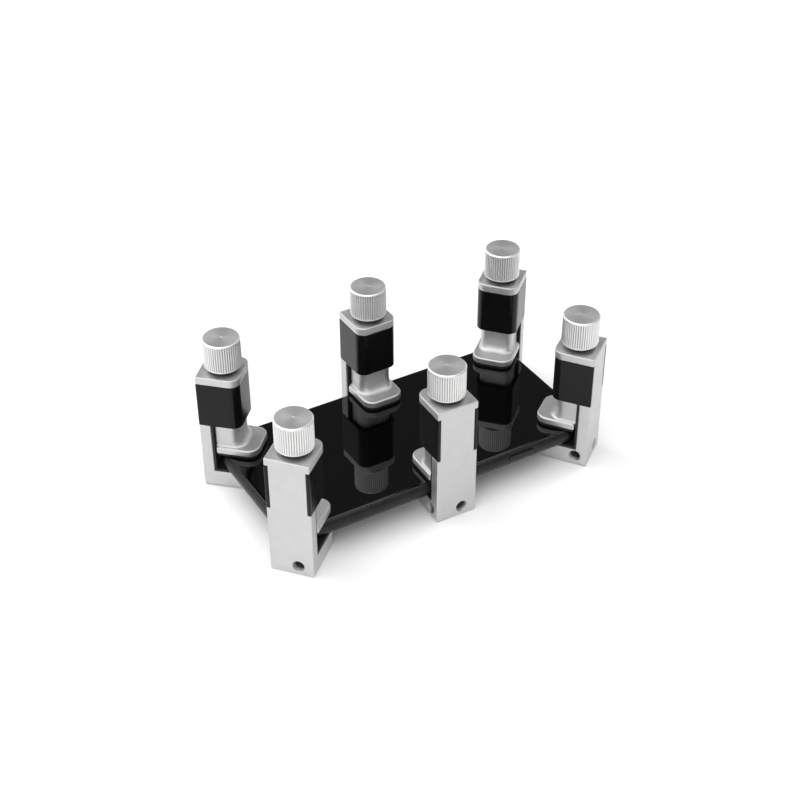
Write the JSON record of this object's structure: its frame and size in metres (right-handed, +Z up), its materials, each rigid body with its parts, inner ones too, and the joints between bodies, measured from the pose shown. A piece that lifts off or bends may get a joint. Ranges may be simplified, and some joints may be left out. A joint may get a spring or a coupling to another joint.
{
  "type": "screen clamp set",
  "caption": "Small C-shaped screw clamps with knurled knobs, sliding jaws and rubber pads, gripping the edge of a flat glass-faced slab.",
  "frame": {"origin": "on the table, in the middle of the set's footprint", "axes": "+X along the slab's length, +Y across it away from the front row of clamps, +Z up"},
  "size_m": [0.1575, 0.0868, 0.0686],
  "materials": {
    "satin_aluminium": "fine bead-blasted and clear anodised, satin",
    "turned_aluminium": "turned, with a fine straight knurl, clear anodised",
    "sleeve_plastic": "moulded black plastic, glossy",
    "black_rubber": "black silicone rubber, matt",
    "washer_plastic": "black acetal, turned",
    "bright_steel": "bright cut steel",
    "anodised_housing": "dark grey anodised, satin",
    "black_glass": "black-backed polished glass",
    "panel_film": "display module with a black backing film",
    "adhesive": "cured adhesive bead"
  },
  "bodies": {
    "slab": {"slab_housing": "anodised_housing", "back_cover": "black_glass", "screen_glass": "black_glass", "display_panel": "panel_film", "adhesive_bead": "adhesive"},
    "key": {"side_key": "anodised_housing"},
    "front_left_clamp": {"front_left_frame": "satin_aluminium", "front_left_guide_sleeve": "sleeve_plastic", "front_left_liner": "black_rubber", "front_left_thrust_washer": "washer_plastic"},
    "front_left_drive": {"front_left_knob": "turned_aluminium", "front_left_lead_screw": "bright_steel", "front_left_retaining_clip": "bright_steel"},
    "front_left_jaw": {"front_left_jaw": "satin_aluminium", "front_left_jaw_pad": "black_rubber"},
    "front_mid_clamp": {"front_mid_frame": "satin_aluminium", "front_mid_guide_sleeve": "sleeve_plastic", "front_mid_liner": "black_rubber", "front_mid_thrust_washer": "washer_plastic"},
    "front_mid_drive": {"front_mid_knob": "turned_aluminium", "front_mid_lead_screw": "bright_steel", "front_mid_retaining_clip": "bright_steel"},
    "front_mid_jaw": {"front_mid_jaw": "satin_aluminium", "front_mid_jaw_pad": "black_rubber"},
    "front_right_clamp": {"front_right_frame": "satin_aluminium", "front_right_guide_sleeve": "sleeve_plastic", "front_right_liner": "black_rubber", "front_right_thrust_washer": "washer_plastic"},
    "front_right_drive": {"front_right_knob": "turned_aluminium", "front_right_lead_screw": "bright_steel", "front_right_retaining_clip": "bright_steel"},
    "front_right_jaw": {"front_right_jaw": "satin_aluminium", "front_right_jaw_pad": "black_rubber"},
    "back_left_clamp": {"back_left_frame": "satin_aluminium", "back_left_guide_sleeve": "sleeve_plastic", "back_left_liner": "black_rubber", "back_left_thrust_washer": "washer_plastic"},
    "back_left_drive": {"back_left_knob": "turned_aluminium", "back_left_lead_screw": "bright_steel", "back_left_retaining_clip": "bright_steel"},
    "back_left_jaw": {"back_left_jaw": "satin_aluminium", "back_left_jaw_pad": "black_rubber"},
    "back_mid_clamp": {"back_mid_frame": "satin_aluminium", "back_mid_guide_sleeve": "sleeve_plastic", "back_mid_liner": "black_rubber", "back_mid_thrust_washer": "washer_plastic"},
    "back_mid_drive": {"back_mid_knob": "turned_aluminium", "back_mid_lead_screw": "bright_steel", "back_mid_retaining_clip": "bright_steel"},
    "back_mid_jaw": {"back_mid_jaw": "satin_aluminium", "back_mid_jaw_pad": "black_rubber"},
    "back_right_clamp": {"back_right_frame": "satin_aluminium", "back_right_guide_sleeve": "sleeve_plastic", "back_right_liner": "black_rubber", "back_right_thrust_washer": "washer_plastic"},
    "back_right_drive": {"back_right_knob": "turned_aluminium", "back_right_lead_screw": "bright_steel", "back_right_retaining_clip": "bright_steel"},
    "back_right_jaw": {"back_right_jaw": "satin_aluminium", "back_right_jaw_pad": "black_rubber"}
  },
  "joints": [
    {"name": "side_key_press", "type": "slide", "parent": "slab", "child": "key", "axis": [0, 1, 0], "range_m": [0, 0.0003], "stiffness_N_per_m": 1500, "springref_m": -0.0002},
    {"name": "front_left_pull_off", "type": "slide", "parent": "slab", "child": "front_left_clamp", "axis": [-0.757, -0.6534, 0], "range_m": [0, 0.02]},
    {"name": "front_left_knob_turn", "type": "hinge", "parent": "front_left_clamp", "child": "front_left_drive", "pos_m": [-0.06546, -0.03072, 0.06], "axis": [0, 0, 1], "range_deg": [0, 4371.43]},
    {"name": "front_left_jaw_slide", "type": "slide", "parent": "front_left_clamp", "child": "front_left_jaw", "axis": [0, 0, 1], "range_m": [0, 0.0085]},
    {"name": "front_mid_pull_off", "type": "slide", "parent": "slab", "child": "front_mid_clamp", "axis": [-0.0244, -0.9997, 0], "range_m": [0, 0.02]},
    {"name": "front_mid_knob_turn", "type": "hinge", "parent": "front_mid_clamp", "child": "front_mid_drive", "pos_m": [0.00007, -0.03112, 0.06], "axis": [0, 0, 1], "range_deg": [0, 4371.43]},
    {"name": "front_mid_jaw_slide", "type": "slide", "parent": "front_mid_clamp", "child": "front_mid_jaw", "axis": [0, 0, 1], "range_m": [0, 0.0085]},
    {"name": "front_right_pull_off", "type": "slide", "parent": "slab", "child": "front_right_clamp", "axis": [0.6004, -0.7997, 0], "range_m": [0, 0.02]},
    {"name": "front_right_knob_turn", "type": "hinge", "parent": "front_right_clamp", "child": "front_right_drive", "pos_m": [0.06485, -0.02855, 0.06], "axis": [0, 0, 1], "range_deg": [0, 4371.43]},
    {"name": "front_right_jaw_slide", "type": "slide", "parent": "front_right_clamp", "child": "front_right_jaw", "axis": [0, 0, 1], "range_m": [0, 0.0085]},
    {"name": "back_left_pull_off", "type": "slide", "parent": "slab", "child": "back_left_clamp", "axis": [-0.7266, 0.6871, 0], "range_m": [0, 0.02]},
    {"name": "back_left_knob_turn", "type": "hinge", "parent": "back_left_clamp", "child": "back_left_drive", "pos_m": [-0.06582, 0.03022, 0.06], "axis": [0, 0, 1], "range_deg": [0, 4371.43]},
    {"name": "back_left_jaw_slide", "type": "slide", "parent": "back_left_clamp", "child": "back_left_jaw", "axis": [0, 0, 1], "range_m": [0, 0.0085]},
    {"name": "back_mid_pull_off", "type": "slide", "parent": "slab", "child": "back_mid_clamp", "axis": [-0.0087, 1, 0], "range_m": [0, 0.02]},
    {"name": "back_mid_knob_turn", "type": "hinge", "parent": "back_mid_clamp", "child": "back_mid_drive", "pos_m": [0.00203, 0.0336, 0.06], "axis": [0, 0, 1], "range_deg": [0, 4371.43]},
    {"name": "back_mid_jaw_slide", "type": "slide", "parent": "back_mid_clamp", "child": "back_mid_jaw", "axis": [0, 0, 1], "range_m": [0, 0.0085]},
    {"name": "back_right_pull_off", "type": "slide", "parent": "slab", "child": "back_right_clamp", "axis": [0.7524, 0.6587, 0], "range_m": [0, 0.02]},
    {"name": "back_right_knob_turn", "type": "hinge", "parent": "back_right_clamp", "child": "back_right_drive", "pos_m": [0.06634, 0.03069, 0.06], "axis": [0, 0, 1], "range_deg": [0, 4371.43]},
    {"name": "back_right_jaw_slide", "type": "slide", "parent": "back_right_clamp", "child": "back_right_jaw", "axis": [0, 0, 1], "range_m": [0, 0.0085]}
  ],
  "couplings": [
    {"joint": "front_left_jaw_slide", "follows": "front_left_knob_turn", "m_per_rad": 0.00011141},
    {"joint": "front_mid_jaw_slide", "follows": "front_mid_knob_turn", "m_per_rad": 0.00011141},
    {"joint": "front_right_jaw_slide", "follows": "front_right_knob_turn", "m_per_rad": 0.00011141},
    {"joint": "back_left_jaw_slide", "follows": "back_left_knob_turn", "m_per_rad": 0.00011141},
    {"joint": "back_mid_jaw_slide", "follows": "back_mid_knob_turn", "m_per_rad": 0.00011141},
    {"joint": "back_right_jaw_slide", "follows": "back_right_knob_turn", "m_per_rad": 0.00011141}
  ]
}
